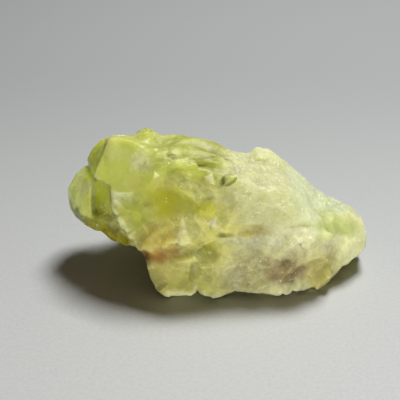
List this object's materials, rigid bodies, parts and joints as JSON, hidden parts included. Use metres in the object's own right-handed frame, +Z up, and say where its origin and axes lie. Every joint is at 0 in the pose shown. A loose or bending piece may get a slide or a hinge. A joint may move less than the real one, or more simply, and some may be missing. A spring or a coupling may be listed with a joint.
{
  "type": "mineral crystal cluster",
  "caption": "Hand-sized cluster of translucent yellow-green crystals grown into a pale granular matrix, with a flat broken underside to lie on.",
  "frame": {"origin": "centre of the bounding box in plan, on the surface that the stone lies on", "axes": "+X along the length, from the rounded glassy lobe to the pale pointed end; +Y away from the smooth cleaved faces; +Z up"},
  "size_m": [0.0486, 0.0248, 0.0231],
  "materials": {
    "brazilianite": "translucent yellow-green crystal, glassy on cleaved faces, sugary and cream-white where granular"
  },
  "bodies": {
    "root": {"crystal_cluster": "brazilianite"}
  },
  "joints": []
}
